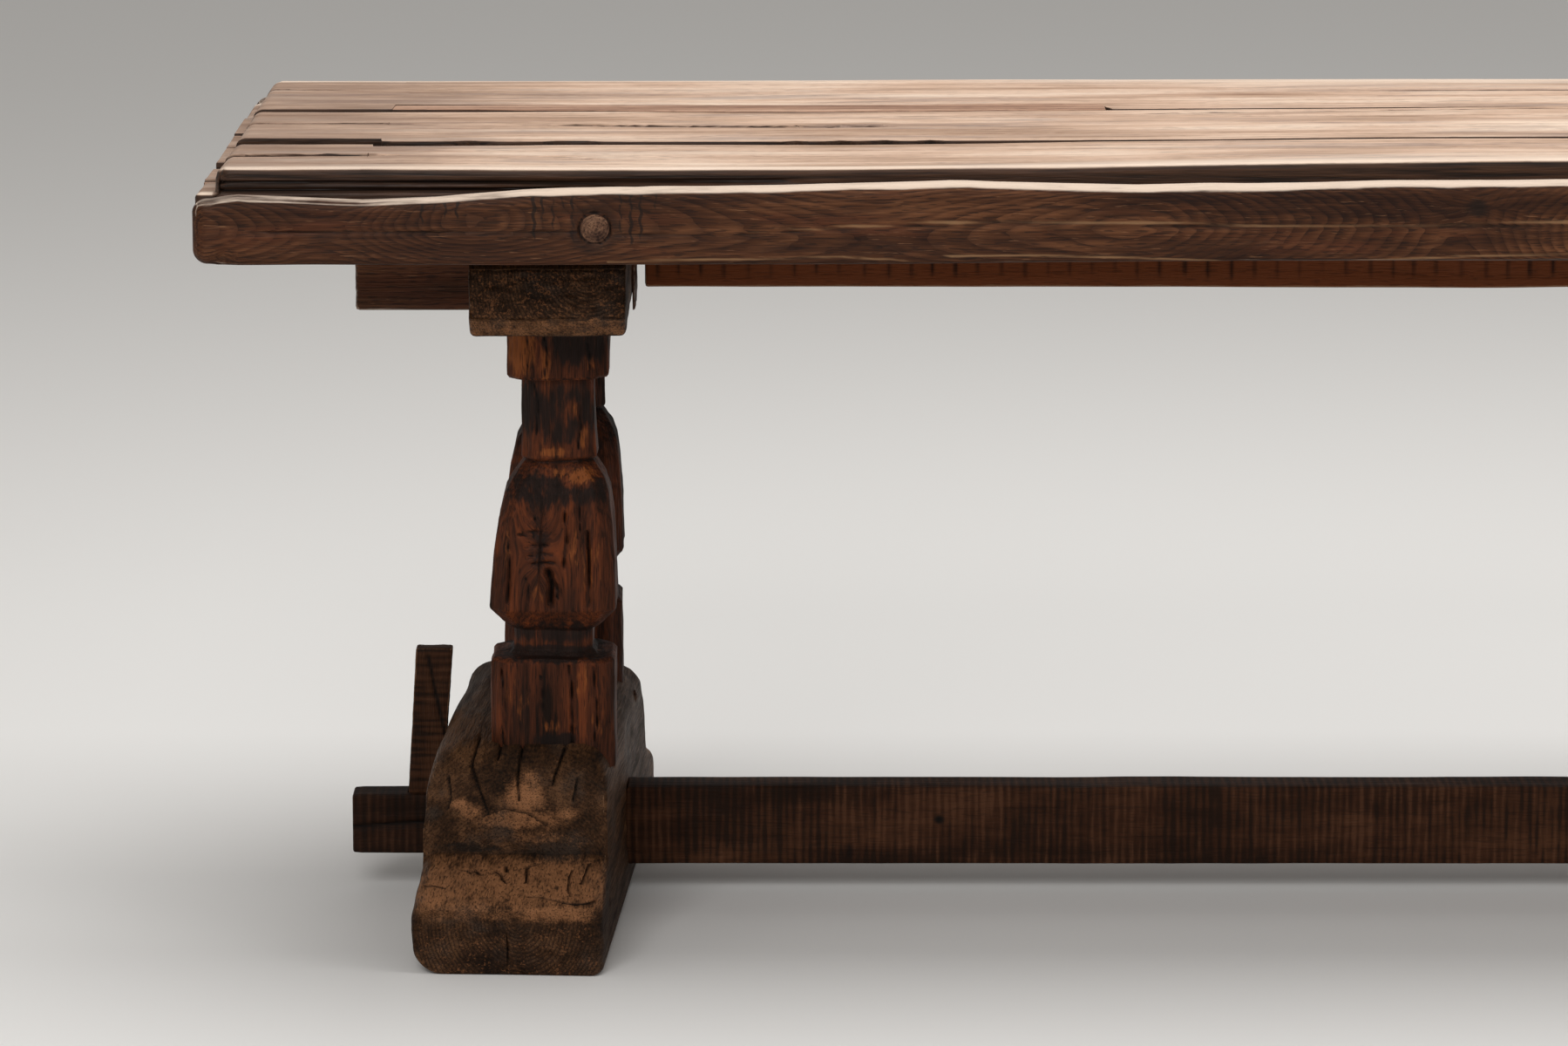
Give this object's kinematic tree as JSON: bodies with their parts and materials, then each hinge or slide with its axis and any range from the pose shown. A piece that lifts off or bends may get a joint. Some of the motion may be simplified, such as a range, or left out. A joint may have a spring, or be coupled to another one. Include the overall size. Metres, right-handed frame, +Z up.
{
  "type": "refectory table",
  "caption": "Long rustic trestle dining table with a thick plank top, baluster posts on sled feet and a wedged through-tenon stretcher.",
  "frame": {"origin": "on the floor under the middle of the table top", "axes": "+X along the length of the table, +Y from the front edge to the back edge, +Z up"},
  "size_m": [2.5, 0.783, 0.78],
  "materials": {
    "weathered_top": "worn, dry, faintly waxed",
    "brown_rail": "worn, faintly waxed",
    "red_slip": "matt",
    "sawn_beam": "saw marked, matt",
    "worn_foot": "rough, matt",
    "red_post": "worn, satin",
    "peg": "end grain, matt"
  },
  "bodies": {
    "base": {"stretcher": "sawn_beam", "left_foot": "worn_foot", "left_front_post": "red_post", "left_rear_post": "red_post", "left_bearer": "worn_foot", "left_bolster": "brown_rail", "left_tenon_pegs": "peg", "right_foot": "worn_foot", "right_front_post": "red_post", "right_rear_post": "red_post", "right_bearer": "worn_foot", "right_bolster": "brown_rail", "right_tenon_pegs": "peg"},
    "top": {"front_rail": "brown_rail", "back_rail": "brown_rail", "front_plank": "weathered_top", "middle_plank": "weathered_top", "back_plank": "weathered_top", "joint_slip": "red_slip", "left_cross_tie": "peg", "right_cross_tie": "peg", "under_rail": "sawn_beam", "under_rail_dowels": "peg"},
    "left_wedge": {"left_wedge": "sawn_beam"},
    "right_wedge": {"right_wedge": "sawn_beam"}
  },
  "joints": [
    {"name": "top_lift", "type": "slide", "parent": "base", "child": "top", "axis": [0, 0, 1], "range_m": [0, 0.11]},
    {"name": "left_wedge_draw", "type": "slide", "parent": "base", "child": "left_wedge", "axis": [0.0663, 0, 0.9978], "range_m": [0, 0.1]},
    {"name": "right_wedge_draw", "type": "slide", "parent": "base", "child": "right_wedge", "axis": [-0.0663, 0, 0.9978], "range_m": [0, 0.1]}
  ]
}
